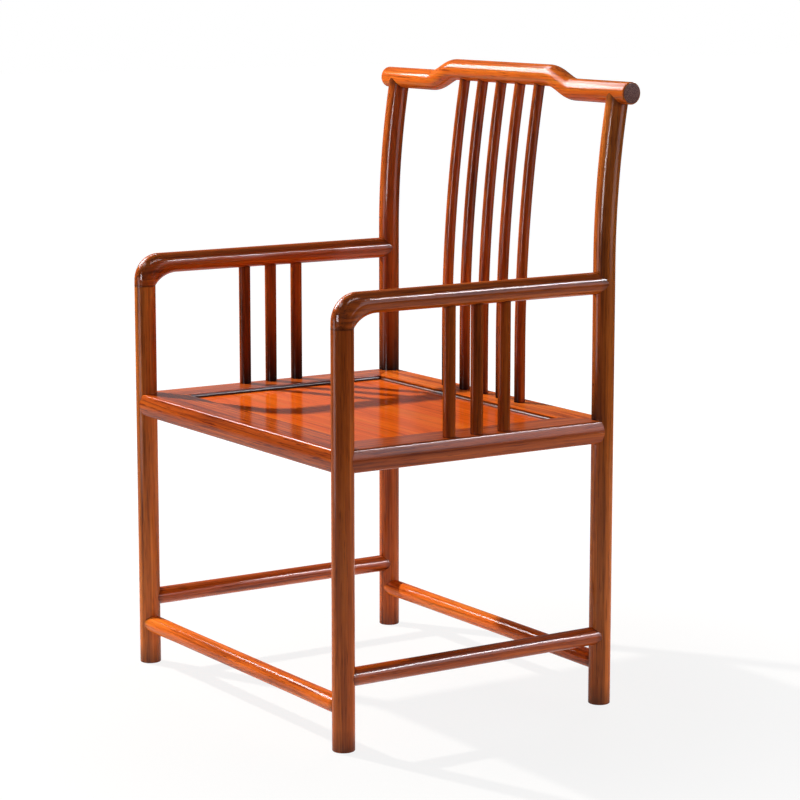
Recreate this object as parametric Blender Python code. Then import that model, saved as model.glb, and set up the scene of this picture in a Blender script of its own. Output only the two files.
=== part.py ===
"""Comb-back armchair of round lacquered hardwood bars, with a yoke crest rail and a sunk board seat.

Units are metres and +Z is up. The chair faces -Y, and left is -X, as seen from the front.
The origin is on the floor, under the middle of the chair's outer box.
Pieces meet in tenons and mortises, and round bars are scribed to each other, with one clearance.
"""

import math

import bmesh
import bpy
from mathutils import Matrix, Vector

# Clearance between pieces that meet, and facets of thick and thin round bars
FIT = 0.0003
THICK_SIDES = 24
THIN_SIDES = 16
BEND_STEPS = 8
WELD = 1e-5
FLAT_ANGLE = math.radians(0.1)
SHARP_ANGLE = math.radians(35)

# Legs
LEG_SPACING_X = 0.586
LEG_SPACING_Y = 0.455
LEG_RADIUS = 0.0165
FOOT_EASE = 0.0015
BACK_BEND_HEIGHT = 0.671
BACK_BEND_RADIUS = 1.42

# Stretchers
STRETCHER_RADIUS = 0.0134
SIDE_STRETCHER_HEIGHT = 0.1057
CROSS_STRETCHER_HEIGHT = 0.0641
STRETCHER_TENON_RADIUS = 0.0075
TENON_TIP_TO_AXIS = 0.004

# Seat frame: rails run between the leg axes, and their sizes are taken from those axes
SEAT_TOP = 0.4355
RAIL_THICKNESS = 0.034
RAIL_INSIDE = 0.047
RAIL_BULGE = 0.0036
CROSS_RAIL_SET_BACK = 0.0005
SIDE_RAIL_SET_BACK = 0.0012
RAIL_TENON_WIDTH = 0.012
RAIL_TENON_HEIGHT = 0.014
RAIL_TENON_ROOT = 0.004
RAIL_TENON_SPACING = 0.0015
CORNER_TENON_WIDTH = 0.013
CORNER_TENON_HEIGHT = 0.009
CORNER_TENON_TIP_TO_AXIS = 0.004
COVE_WIDTH = 0.004
COVE_WALL = 0.0022

# Seat panel and its battens
PANEL_DROP = 0.0065
PANEL_THICKNESS = 0.012
TONGUE_THICKNESS = 0.006
TONGUE_DEPTH = 0.008
TONGUE_DROP = 0.0012
PANEL_FLOAT = 0.0012
BATTEN_OFFSET = 0.115
BATTEN_WIDTH = 0.034
BATTEN_THICKNESS = 0.013
BATTEN_TENON_WIDTH = 0.02
BATTEN_TENON_HEIGHT = 0.007
BATTEN_TENON_LENGTH = 0.01

# Arms
ARM_HEIGHT = 0.64
ARM_RADIUS = 0.0159
ELBOW_OUTER_RADIUS = 0.04
ELBOW_INNER_RADIUS = 0.05
ELBOW_DROP = 0.018
ARM_PEG_RADIUS = 0.009
ARM_PEG_LENGTH = 0.02
ARM_TENON_RADIUS = 0.008

# Spindles
ARM_SPINDLES = 3
ARM_SPINDLE_RADIUS = 0.0092
ARM_SPINDLE_PITCH = 0.048
BACK_SPINDLES = 5
BACK_SPINDLE_RADIUS = 0.0085
BACK_SPINDLE_PITCH = 0.05
BACK_SPINDLE_FORWARD = 0.0136
BACK_SPINDLE_BEND_HEIGHT = 0.523
SPINDLE_TENON_RADIUS = 0.0055
SPINDLE_TENON_LENGTH = 0.016
SPINDLE_SOCKET_DEPTH = 0.011

# Crest rail: its ends lie level at CREST_HEIGHT, and the middle rises between two distances from the centre
CREST_HEIGHT = 0.9185
CREST_RADIUS = 0.0165
CREST_LENGTH = 0.65
CREST_END_EASE = 0.0018
CREST_RISE = 0.0187
CREST_RISE_STARTS = 0.1916
CREST_RISE_ENDS = 0.1246
CREST_TENON_RADIUS = 0.0085
CREST_TENON_PAST_AXIS = 0.005
CREST_TENON_ROOT = 0.012

# Lacquer colours, as linear red, green and blue
LEG_COLOUR = (0.13, 0.03, 0.011)
RAIL_COLOUR = (0.3, 0.062, 0.016)
PANEL_COLOUR = (0.42, 0.085, 0.02)
CREST_COLOUR = (0.36, 0.075, 0.017)
LACQUER_ROUGHNESS = 0.16

# Derived heights and lines
CREST_SET_BACK = BACK_BEND_RADIUS - math.sqrt(BACK_BEND_RADIUS**2 - (CREST_HEIGHT - BACK_BEND_HEIGHT) ** 2)
PLAN_SHIFT = (LEG_RADIUS - CREST_SET_BACK - CREST_RADIUS) / 2
FRONT_Y = PLAN_SHIFT - LEG_SPACING_Y / 2
BACK_Y = PLAN_SHIFT + LEG_SPACING_Y / 2
CREST_Y = BACK_Y + CREST_SET_BACK
SIDES = {"left": -LEG_SPACING_X / 2, "right": LEG_SPACING_X / 2}
ROWS = {"front": FRONT_Y, "back": BACK_Y}
SEAM_HEIGHT = ARM_HEIGHT - ARM_RADIUS - ELBOW_DROP
RAIL_BOTTOM = SEAT_TOP - RAIL_THICKNESS
PANEL_TOP = SEAT_TOP - PANEL_DROP
PANEL_BOTTOM = PANEL_TOP - PANEL_THICKNESS
GROOVE_TOP = PANEL_TOP - TONGUE_DROP + FIT
GROOVE_FLOOR = PANEL_TOP - TONGUE_DROP - TONGUE_THICKNESS - FIT
INNER_FACE = RAIL_INSIDE + COVE_WIDTH
GROOVE_END = INNER_FACE - TONGUE_DEPTH - PANEL_FLOAT
RAIL_TENON_TIP_TO_AXIS = RAIL_TENON_WIDTH / 2 + RAIL_TENON_SPACING
TENON_ROOT_TO_AXIS = 2 * LEG_RADIUS
RAIL_MIDDLE = SEAT_TOP - RAIL_THICKNESS / 2

parts = bpy.data.collections.new("comb_back_armchair")
joinery = bpy.data.collections.new("joinery")


def clear_scene():
    """Empties the file and adds the two collections: the pieces, and the solids that cut or extend them."""
    for obj in list(bpy.data.objects):
        bpy.data.objects.remove(obj, do_unlink=True)
    for collection in (parts, joinery):
        bpy.context.scene.collection.children.link(collection)


def lacquered_wood(name, colour):
    """Lacquered hardwood of one colour."""
    material = bpy.data.materials.new(name)
    material.use_nodes = True
    shader = material.node_tree.nodes["Principled BSDF"]
    shader.inputs["Base Color"].default_value = (*colour, 1.0)
    shader.inputs["Roughness"].default_value = LACQUER_ROUGHNESS
    shader.inputs["Metallic"].default_value = 0.0
    return material


def piece(name, bm, location, material):
    """A named piece of the chair, placed by its location under the chair's empty."""
    bmesh.ops.recalc_face_normals(bm, faces=bm.faces)
    mesh = bpy.data.meshes.new(name)
    bm.to_mesh(mesh)
    bm.free()
    mesh.shade_smooth()
    mesh.set_sharp_from_angle(angle=SHARP_ANGLE)
    mesh.materials.append(material)
    obj = bpy.data.objects.new(name, mesh)
    obj.location = location
    obj.parent = chair
    parts.objects.link(obj)
    return obj


def tool(name, bm):
    """A solid that only cuts or extends pieces."""
    bmesh.ops.recalc_face_normals(bm, faces=bm.faces)
    mesh = bpy.data.meshes.new(name)
    bm.to_mesh(mesh)
    bm.free()
    obj = bpy.data.objects.new(name, mesh)
    obj.hide_render = True
    obj.display_type = "WIRE"
    joinery.objects.link(obj)
    return obj


def combine(obj, operand, operation):
    """Cuts a piece with a tool, or extends it by one."""
    modifier = obj.modifiers.new(operand.name, "BOOLEAN")
    modifier.operation = operation
    modifier.solver = "EXACT"
    modifier.object = operand


def cylinder(start, end, radius, sides):
    """A capped cylinder between two points, turned so that its facets, not its edges, meet a bar's edges."""
    start = Vector(start)
    span = Vector(end) - start
    bm = bmesh.new()
    bmesh.ops.create_cone(
        bm, cap_ends=True, segments=sides, radius1=radius, radius2=radius, depth=span.length
    )
    half_facet = Matrix.Rotation(math.pi / sides, 3, "Z")
    turn = Vector((0, 0, 1)).rotation_difference(span).to_matrix() @ half_facet
    bmesh.ops.rotate(bm, verts=bm.verts, cent=(0, 0, 0), matrix=turn)
    bmesh.ops.translate(bm, verts=bm.verts, vec=start + span / 2)
    return bm


def block(low, high):
    """A box between its lowest and highest corner."""
    low = Vector(low)
    size = Vector(high) - low
    bm = bmesh.new()
    bmesh.ops.create_cube(bm, size=1)
    bmesh.ops.scale(bm, verts=bm.verts, vec=size)
    bmesh.ops.translate(bm, verts=bm.verts, vec=low + size / 2)
    return bm


def grown(low, high):
    """A box's corners, moved out by the clearance."""
    margin = Vector((FIT, FIT, FIT))
    return Vector(low) - margin, Vector(high) + margin


def round_bar(points, radius, sides, start_ease=0.0, end_ease=0.0):
    """A round bar along points, made as a bevelled curve, with its end edges eased where asked."""
    points = [Vector(p) for p in points]
    radii = [1.0] * len(points)
    for ease, end, inner in ((start_ease, 0, 1), (end_ease, -1, -2)):
        if ease:
            inward = (points[inner] - points[end]).normalized() * ease
            place = end + 1 if end == 0 else len(points) - 1
            points.insert(place, points[end] + inward)
            radii.insert(place, 1.0)
            radii[end] = 1.0 - ease / radius
    curve = bpy.data.curves.new("bar", "CURVE")
    curve.dimensions = "3D"
    curve.bevel_depth = radius
    curve.bevel_resolution = (sides - 4) // 2
    curve.use_fill_caps = True
    spline = curve.splines.new("POLY")
    spline.points.add(len(points) - 1)
    for spline_point, point, share in zip(spline.points, points, radii):
        spline_point.co = (*point, 1.0)
        spline_point.radius = share
    carrier = bpy.data.objects.new("bar", curve)
    bpy.context.scene.collection.objects.link(carrier)
    evaluated = carrier.evaluated_get(bpy.context.evaluated_depsgraph_get())
    mesh = bpy.data.meshes.new_from_object(evaluated)
    bm = bmesh.new()
    bm.from_mesh(mesh)
    bmesh.ops.remove_doubles(bm, verts=bm.verts, dist=WELD)
    bmesh.ops.recalc_face_normals(bm, faces=bm.faces)
    bmesh.ops.dissolve_limit(bm, angle_limit=FLAT_ANGLE, verts=bm.verts, edges=bm.edges)
    bm.normal_update()
    bpy.data.meshes.remove(mesh)
    bpy.data.objects.remove(carrier, do_unlink=True)
    bpy.data.curves.remove(curve)
    return bm


def grow_tenon(bm, at, shoulder, length):
    """Draws a thinner tenon out of the flat end that lies at a point, leaving a shoulder round it."""
    end = min(bm.faces, key=lambda face: (face.calc_center_median() - Vector(at)).length)
    outward = end.normal.copy()
    bmesh.ops.inset_region(bm, faces=[end], thickness=shoulder, use_even_offset=True)
    drawn = bmesh.ops.extrude_discrete_faces(bm, faces=[end])["faces"]
    bmesh.ops.translate(bm, verts=drawn[0].verts, vec=outward * length)


def loft(rings):
    """A closed skin through rings of points, each with the same count."""
    bm = bmesh.new()
    skin = [[bm.verts.new(point) for point in ring] for ring in rings]
    count = len(rings[0])
    for ring, following in zip(skin, skin[1:]):
        for i in range(count):
            j = (i + 1) % count
            bm.faces.new((ring[i], ring[j], following[j], following[i]))
    bm.faces.new(skin[0])
    bm.faces.new(skin[-1])
    return bm


def round_tenon(holder, receiver, start, end, radius):
    """A round tenon on one piece, from inside it to its tip, and the mortise for it in another piece."""
    start = Vector(start)
    end = Vector(end)
    onward = (end - start).normalized() * FIT
    name = f"{holder.name}_in_{receiver.name}"
    combine(holder, tool(f"tenon_{name}", cylinder(start, end, radius, THIN_SIDES)), "UNION")
    mortise = cylinder(start, end + onward, radius + FIT, THIN_SIDES)
    combine(receiver, tool(f"mortise_{name}", mortise), "DIFFERENCE")


def square_tenon(holder, receiver, corner, opposite):
    """A square tenon on one piece, between two of its corners, and the mortise for it in another piece."""
    low = Vector(map(min, corner, opposite))
    high = Vector(map(max, corner, opposite))
    name = f"{holder.name}_in_{receiver.name}"
    combine(holder, tool(f"tenon_{name}", block(low, high)), "UNION")
    combine(receiver, tool(f"mortise_{name}", block(*grown(low, high))), "DIFFERENCE")


def back_leg_axis(height):
    """How far a back leg's axis lies behind its foot at a height, and its direction there."""
    rise = max(0.0, height - BACK_BEND_HEIGHT)
    lean = math.asin(rise / BACK_BEND_RADIUS)
    return BACK_BEND_RADIUS * (1 - math.cos(lean)), Vector((0, math.sin(lean), math.cos(lean)))


def back_spindle_axis(height):
    """Where a back spindle's axis lies behind the back leg axes at a height."""
    rise = max(0.0, height - BACK_SPINDLE_BEND_HEIGHT)
    reach = CREST_HEIGHT + CREST_RISE - BACK_SPINDLE_BEND_HEIGHT
    sag = BACK_SPINDLE_FORWARD + CREST_SET_BACK
    radius = (reach**2 + sag**2) / (2 * sag)
    return radius - math.sqrt(radius**2 - rise**2) - BACK_SPINDLE_FORWARD


def crest_axis_height(x):
    """Height of the crest rail's axis, which rises smoothly to the raised middle."""
    share = (CREST_RISE_STARTS - abs(x)) / (CREST_RISE_STARTS - CREST_RISE_ENDS)
    share = min(1.0, max(0.0, share))
    return CREST_HEIGHT + CREST_RISE * (1 - math.cos(math.pi * share)) / 2


def steps(first, last, count):
    """Evenly spaced values from the first to the last."""
    return [first + (last - first) * i / count for i in range(count + 1)]


def leg_path(row):
    """A leg's axis from the middle of its foot: straight in front, bent backwards at the back."""
    if row == "front":
        return [(0, 0, 0), (0, 0, SEAM_HEIGHT - FIT)]
    bend = steps(BACK_BEND_HEIGHT, CREST_HEIGHT, BEND_STEPS)
    return [(0, 0, 0)] + [(0, back_leg_axis(z)[0], z) for z in bend]


def leg_cutter(row, side):
    """The round space that a leg takes out of what is scribed to it."""
    bm = round_bar([(0, 0, -LEG_RADIUS)] + leg_path(row)[1:], LEG_RADIUS + FIT, THICK_SIDES)
    bmesh.ops.translate(bm, verts=bm.verts, vec=(SIDES[side], ROWS[row], 0))
    return tool(f"leg_space_{row}_{side}", bm)


def make_front_leg(side):
    """A straight post with an eased foot and a peg that enters the arm's elbow."""
    path = leg_path("front")
    bm = round_bar(path, LEG_RADIUS, THICK_SIDES, start_ease=FOOT_EASE)
    grow_tenon(bm, path[-1], LEG_RADIUS - ARM_PEG_RADIUS, ARM_PEG_LENGTH)
    return piece(f"front_leg_{side}", bm, (SIDES[side], FRONT_Y, 0), leg_wood)


def make_back_leg(side):
    """A post that bends backwards above the arms and is scribed under the crest rail."""
    bm = round_bar(leg_path("back"), LEG_RADIUS, THICK_SIDES, start_ease=FOOT_EASE)
    return piece(f"back_leg_{side}", bm, (SIDES[side], BACK_Y, 0), leg_wood)


def make_crest():
    """The yoke rail along the top of the back."""
    half = CREST_LENGTH / 2
    rise = steps(CREST_RISE_STARTS, CREST_RISE_ENDS, BEND_STEPS)
    xs = [-half] + [-x for x in rise] + rise[::-1] + [half]
    path = [(x, 0, crest_axis_height(x) - CREST_HEIGHT) for x in xs]
    bm = round_bar(path, CREST_RADIUS, THICK_SIDES, CREST_END_EASE, CREST_END_EASE)
    return piece("crest_rail", bm, (0, CREST_Y, CREST_HEIGHT), crest_wood)


def seat_legs_under_crest(crest, side):
    """Scribes a back leg to the crest rail and joins the two with a round tenon along the leg."""
    leg = back_legs[side]
    top = Vector((SIDES[side], CREST_Y, CREST_HEIGHT))
    across = Vector((CREST_RADIUS + LEG_RADIUS, 0, 0))
    space = cylinder(top - across, top + across, CREST_RADIUS + FIT, THICK_SIDES)
    combine(leg, tool(f"crest_space_{side}", space), "DIFFERENCE")
    along = back_leg_axis(CREST_HEIGHT)[1]
    root = top - along * (CREST_RADIUS + CREST_TENON_ROOT)
    round_tenon(leg, crest, root, top + along * CREST_TENON_PAST_AXIS, CREST_TENON_RADIUS)


def elbow_outer(share):
    """A point on the arm's outer line, from seam to level run, as (distance behind the leg axis, height)."""
    top = ARM_HEIGHT + ARM_RADIUS
    radius = min(ELBOW_OUTER_RADIUS, top - SEAM_HEIGHT)
    upright = top - radius - SEAM_HEIGHT
    arc = radius * math.pi / 2
    level = LEG_RADIUS + elbow_run() - (radius - LEG_RADIUS)
    travel = share * (upright + arc + level)
    if travel < upright:
        return -LEG_RADIUS, SEAM_HEIGHT + travel
    if travel < upright + arc:
        angle = (travel - upright) / radius
        return radius * (1 - math.cos(angle)) - LEG_RADIUS, top - radius * (1 - math.sin(angle))
    return radius - LEG_RADIUS + travel - upright - arc, top


def elbow_run():
    """How far behind the leg the hollow under the elbow runs out into the arm's underside."""
    return math.sqrt(ELBOW_INNER_RADIUS**2 - (ELBOW_INNER_RADIUS - ELBOW_DROP) ** 2)


def elbow_inner(share):
    """A point on the hollow under the elbow, as (distance behind the leg axis, height)."""
    sweep = math.asin(elbow_run() / ELBOW_INNER_RADIUS) * (1 - share)
    behind = LEG_RADIUS + elbow_run() - ELBOW_INNER_RADIUS * math.sin(sweep)
    return behind, ARM_HEIGHT - ARM_RADIUS - ELBOW_INNER_RADIUS * (1 - math.cos(sweep))


def arm_ring(outer, inner, half_width):
    """An oval section of the arm between its outer and its inner line."""
    outer = Vector((0, *outer))
    inner = Vector((0, *inner))
    middle = (outer + inner) / 2
    reach = (outer - inner) / 2
    aside = Vector((half_width, 0, 0))
    turns = [2 * math.pi * i / THICK_SIDES for i in range(THICK_SIDES)]
    return [middle + reach * math.cos(turn) + aside * math.sin(turn) for turn in turns]


def make_arm(side):
    """A level arm that turns down in a thick elbow onto the front leg and is scribed to the back leg."""
    rings = []
    for share in steps(0.0, 1.0, BEND_STEPS + 2):
        half_width = LEG_RADIUS + (ARM_RADIUS - LEG_RADIUS) * share
        rings.append(arm_ring(elbow_outer(share), elbow_inner(share), half_width))
    length = LEG_SPACING_Y + back_leg_axis(ARM_HEIGHT)[0]
    top = (length, ARM_HEIGHT + ARM_RADIUS)
    bottom = (length, ARM_HEIGHT - ARM_RADIUS)
    rings.append(arm_ring(top, bottom, ARM_RADIUS))
    arm = piece(f"arm_{side}", loft(rings), (SIDES[side], FRONT_Y, 0), leg_wood)
    combine(arm, leg_cutters["back", side], "DIFFERENCE")
    end = Vector((SIDES[side], FRONT_Y + length, ARM_HEIGHT))
    root = end - Vector((0, TENON_ROOT_TO_AXIS, 0))
    round_tenon(arm, back_legs[side], root, end - Vector((0, TENON_TIP_TO_AXIS, 0)), ARM_TENON_RADIUS)
    seam = Vector((SIDES[side], FRONT_Y, SEAM_HEIGHT))
    up = Vector((0, 0, ARM_PEG_LENGTH))
    hole = cylinder(seam - up, seam + up + Vector((0, 0, FIT)), ARM_PEG_RADIUS + FIT, THICK_SIDES)
    combine(arm, tool(f"peg_hole_{side}", hole), "DIFFERENCE")
    return arm


def make_stretcher(name, first, second, height):
    """A round bar between two legs, scribed to both and tenoned into both. Legs are given as (row, side)."""
    ends = [Vector((SIDES[side], ROWS[row], height)) for row, side in (first, second)]
    bm = round_bar([(0, 0, 0), ends[1] - ends[0]], STRETCHER_RADIUS, THICK_SIDES)
    bar = piece(name, bm, ends[0], rail_wood)
    for leg in (first, second):
        combine(bar, leg_cutters[leg], "DIFFERENCE")
    inward = (ends[1] - ends[0]).normalized()
    for leg, axis, way in ((first, ends[0], inward), (second, ends[1], -inward)):
        root = axis + way * TENON_ROOT_TO_AXIS
        round_tenon(bar, legs[leg], root, axis + way * TENON_TIP_TO_AXIS, STRETCHER_TENON_RADIUS)
    return bar


def rail_profile(nose):
    """A seat rail's section: cove, groove and bulging face, as (distance out of the leg axes, height)."""
    cove_drop = PANEL_DROP - COVE_WALL
    points = []
    for angle in steps(0.0, math.pi / 2, BEND_STEPS // 2):
        out = COVE_WIDTH * (1 - math.cos(angle))
        points.append((-RAIL_INSIDE - out, SEAT_TOP - COVE_WALL - cove_drop * math.sin(angle)))
    points += [(-INNER_FACE, GROOVE_TOP), (-GROOVE_END, GROOVE_TOP)]
    points += [(-GROOVE_END, GROOVE_FLOOR), (-INNER_FACE, GROOVE_FLOOR), (-INNER_FACE, RAIL_BOTTOM)]
    half = RAIL_THICKNESS / 2
    face_radius = (half**2 + RAIL_BULGE**2) / (2 * RAIL_BULGE)
    sweep = math.asin(half / face_radius)
    for angle in steps(-sweep, sweep, BEND_STEPS):
        out = nose - face_radius * (1 - math.cos(angle))
        points.append((out, RAIL_MIDDLE + face_radius * math.sin(angle)))
    points.append((-RAIL_INSIDE, SEAT_TOP))
    return points


def cut_off(bm, point, outward):
    """Cuts a solid by a plane, keeps the inner side and closes the cut."""
    everything = bm.verts[:] + bm.edges[:] + bm.faces[:]
    bmesh.ops.bisect_plane(bm, geom=everything, plane_co=point, plane_no=outward, clear_outer=True)
    bmesh.ops.holes_fill(bm, edges=[edge for edge in bm.edges if edge.is_boundary])


def make_rail(name, first, second, outward, nose):
    """A seat rail between two legs, mitred inside the legs and scribed round them."""
    ends = [Vector((SIDES[side], ROWS[row], 0)) for row, side in (first, second)]
    span = ends[1] - ends[0]
    along = span.normalized()
    bm = bmesh.new()
    corners = [bm.verts.new(outward * out + Vector((0, 0, z))) for out, z in rail_profile(nose)]
    section = bm.faces.new(corners)
    drawn = bmesh.ops.extrude_face_region(bm, geom=[section])["geom"]
    moved = [item for item in drawn if isinstance(item, bmesh.types.BMVert)]
    bmesh.ops.translate(bm, verts=moved, vec=span)
    bmesh.ops.recalc_face_normals(bm, faces=bm.faces)
    for start, way in ((Vector(), along), (span, -along)):
        mitre = -(way + outward).normalized()
        cut_off(bm, start - mitre * FIT / 2, mitre)
    rail = piece(name, bm, ends[0], rail_wood)
    for leg in (first, second):
        combine(rail, leg_cutters[leg], "DIFFERENCE")
    half_width = outward * RAIL_TENON_WIDTH / 2
    half_height = Vector((0, 0, RAIL_TENON_HEIGHT / 2))
    for leg, start, way in ((first, ends[0], along), (second, ends[1], -along)):
        axis = start + Vector((0, 0, RAIL_MIDDLE))
        tip = axis + way * RAIL_TENON_TIP_TO_AXIS
        root = axis + way * (LEG_RADIUS + RAIL_TENON_ROOT)
        square_tenon(rail, legs[leg], tip - half_width - half_height, root + half_width + half_height)
    return rail


def join_corner(cross_rail, side_rail, row, side):
    """Locks a mitred corner with a tenon on the front or back rail that enters the side rail."""
    inward_x = -math.copysign(1, SIDES[side])
    inward_y = 1 if row == "front" else -1
    middle = (LEG_RADIUS + GROOVE_END) / 2
    near = middle - CORNER_TENON_WIDTH / 2
    far = middle + CORNER_TENON_WIDTH / 2
    top = (GROOVE_FLOOR + RAIL_BOTTOM + CORNER_TENON_HEIGHT) / 2
    axis = Vector((SIDES[side], ROWS[row], top))
    tip = axis + Vector((inward_x * CORNER_TENON_TIP_TO_AXIS, inward_y * near, 0))
    root = axis + Vector((inward_x * INNER_FACE, inward_y * far, -CORNER_TENON_HEIGHT))
    square_tenon(cross_rail, side_rail, tip, root)


def make_panel():
    """The sunk seat board: a tongue all round, with a field that stands above and below it."""
    half_x = LEG_SPACING_X / 2 - INNER_FACE + TONGUE_DEPTH
    half_y = LEG_SPACING_Y / 2 - INNER_FACE + TONGUE_DEPTH
    tongue_bottom = -TONGUE_DROP - TONGUE_THICKNESS
    bm = block((-half_x, -half_y, tongue_bottom), (half_x, half_y, -TONGUE_DROP))
    shoulder = TONGUE_DEPTH + PANEL_FLOAT
    grow_tenon(bm, (0, 0, -TONGUE_DROP), shoulder, TONGUE_DROP)
    grow_tenon(bm, (0, 0, tongue_bottom), shoulder, PANEL_THICKNESS + tongue_bottom)
    return piece("seat_panel", bm, (0, PLAN_SHIFT, PANEL_TOP), panel_wood)


def make_batten(side):
    """A batten under the seat board, tenoned into the front and back rails."""
    x = math.copysign(BATTEN_OFFSET, SIDES[side])
    half = Vector((BATTEN_WIDTH / 2, LEG_SPACING_Y / 2 - INNER_FACE - FIT, BATTEN_THICKNESS / 2))
    middle = Vector((x, PLAN_SHIFT, PANEL_BOTTOM - FIT - half.z))
    batten = piece(f"seat_batten_{side}", block(-half, half), middle, rail_wood)
    aside = Vector((BATTEN_TENON_WIDTH / 2, 0, BATTEN_TENON_HEIGHT / 2))
    for row, way in (("front", -1), ("back", 1)):
        root = middle + Vector((0, way * (half.y - BATTEN_TENON_LENGTH), 0))
        tip = middle + Vector((0, way * (half.y + BATTEN_TENON_LENGTH), 0))
        square_tenon(batten, rails[row], root - aside, tip + aside)
    return batten


def make_spindle(name, path, radius, rail, top_rail):
    """A spindle with a shouldered tenon in the seat rail and its full width in a socket of the rail above."""
    foot = Vector(path[0])
    bm = round_bar([Vector(p) - foot for p in path], radius, THIN_SIDES)
    grow_tenon(bm, (0, 0, 0), radius - SPINDLE_TENON_RADIUS, SPINDLE_TENON_LENGTH)
    spindle = piece(name, bm, foot, leg_wood)
    down = Vector((0, 0, -SPINDLE_TENON_LENGTH - FIT))
    mortise = cylinder(foot - down, foot + down, SPINDLE_TENON_RADIUS + FIT, THIN_SIDES)
    combine(rail, tool(f"mortise_{name}", mortise), "DIFFERENCE")
    tip = Vector(path[-1])
    along = (tip - Vector(path[-2])).normalized()
    mouth = tip - along * 2 * SPINDLE_SOCKET_DEPTH
    socket = cylinder(mouth, tip + along * FIT, radius + FIT, THIN_SIDES)
    combine(top_rail, tool(f"socket_{name}", socket), "DIFFERENCE")
    return spindle


def make_arm_spindles(side):
    """The straight spindles under an arm, numbered from the front."""
    top = ARM_HEIGHT - ARM_RADIUS + SPINDLE_SOCKET_DEPTH
    for i in range(ARM_SPINDLES):
        y = PLAN_SHIFT + (i - (ARM_SPINDLES - 1) / 2) * ARM_SPINDLE_PITCH
        path = [(SIDES[side], y, SEAT_TOP + FIT), (SIDES[side], y, top)]
        make_spindle(f"arm_spindle_{side}_{i + 1}", path, ARM_SPINDLE_RADIUS, rails[side], arms[side])


def make_back_spindles(crest):
    """The bent spindles of the back, numbered from the left."""
    top = CREST_HEIGHT + CREST_RISE - CREST_RADIUS + SPINDLE_SOCKET_DEPTH
    heights = [SEAT_TOP + FIT] + steps(BACK_SPINDLE_BEND_HEIGHT, top, BEND_STEPS)
    for i in range(BACK_SPINDLES):
        x = (i - (BACK_SPINDLES - 1) / 2) * BACK_SPINDLE_PITCH
        path = [(x, BACK_Y + back_spindle_axis(z), z) for z in heights]
        make_spindle(f"back_spindle_{i + 1}", path, BACK_SPINDLE_RADIUS, rails["back"], crest)


clear_scene()
chair = bpy.data.objects.new("armchair", None)
parts.objects.link(chair)
leg_wood = lacquered_wood("leg_wood", LEG_COLOUR)
rail_wood = lacquered_wood("rail_wood", RAIL_COLOUR)
panel_wood = lacquered_wood("panel_wood", PANEL_COLOUR)
crest_wood = lacquered_wood("crest_wood", CREST_COLOUR)

leg_cutters = {(row, side): leg_cutter(row, side) for row in ROWS for side in SIDES}
front_legs = {side: make_front_leg(side) for side in SIDES}
back_legs = {side: make_back_leg(side) for side in SIDES}
legs = {("front", side): front_legs[side] for side in SIDES}
legs.update({("back", side): back_legs[side] for side in SIDES})

crest_rail = make_crest()
for side in SIDES:
    seat_legs_under_crest(crest_rail, side)
arms = {side: make_arm(side) for side in SIDES}

for row in ROWS:
    make_stretcher(f"stretcher_{row}", (row, "left"), (row, "right"), CROSS_STRETCHER_HEIGHT)
for side in SIDES:
    make_stretcher(f"stretcher_{side}", ("front", side), ("back", side), SIDE_STRETCHER_HEIGHT)

rails = {}
for row, facing in (("front", -1), ("back", 1)):
    rails[row] = make_rail(
        f"seat_rail_{row}",
        (row, "left"),
        (row, "right"),
        Vector((0, facing, 0)),
        LEG_RADIUS - CROSS_RAIL_SET_BACK,
    )
for side, facing in (("left", -1), ("right", 1)):
    rails[side] = make_rail(
        f"seat_rail_{side}",
        ("front", side),
        ("back", side),
        Vector((facing, 0, 0)),
        LEG_RADIUS - SIDE_RAIL_SET_BACK,
    )
for row in ROWS:
    for side in SIDES:
        join_corner(rails[row], rails[side], row, side)
make_panel()
for side in SIDES:
    make_batten(side)
    make_arm_spindles(side)
make_back_spindles(crest_rail)
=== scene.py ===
"""Looks of the round-bar armchair: red-brown hardwood under a glossy lacquer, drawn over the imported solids."""

import math

import bmesh
import bpy
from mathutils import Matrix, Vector


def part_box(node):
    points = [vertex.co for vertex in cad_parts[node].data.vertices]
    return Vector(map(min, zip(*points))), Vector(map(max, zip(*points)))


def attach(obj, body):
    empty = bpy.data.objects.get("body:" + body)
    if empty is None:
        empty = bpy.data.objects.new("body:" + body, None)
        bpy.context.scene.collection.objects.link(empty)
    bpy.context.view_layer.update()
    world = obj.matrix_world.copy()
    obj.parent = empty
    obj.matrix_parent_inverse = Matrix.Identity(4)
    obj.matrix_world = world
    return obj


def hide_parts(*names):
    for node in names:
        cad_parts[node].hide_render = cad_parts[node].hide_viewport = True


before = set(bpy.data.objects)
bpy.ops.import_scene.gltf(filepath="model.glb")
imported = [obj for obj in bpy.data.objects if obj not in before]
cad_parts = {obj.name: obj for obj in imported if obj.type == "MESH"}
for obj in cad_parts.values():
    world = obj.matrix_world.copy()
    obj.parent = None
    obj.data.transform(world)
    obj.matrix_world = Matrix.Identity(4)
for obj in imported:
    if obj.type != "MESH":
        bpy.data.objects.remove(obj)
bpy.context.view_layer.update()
bpy.ops.object.select_all(action="DESELECT")

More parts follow.
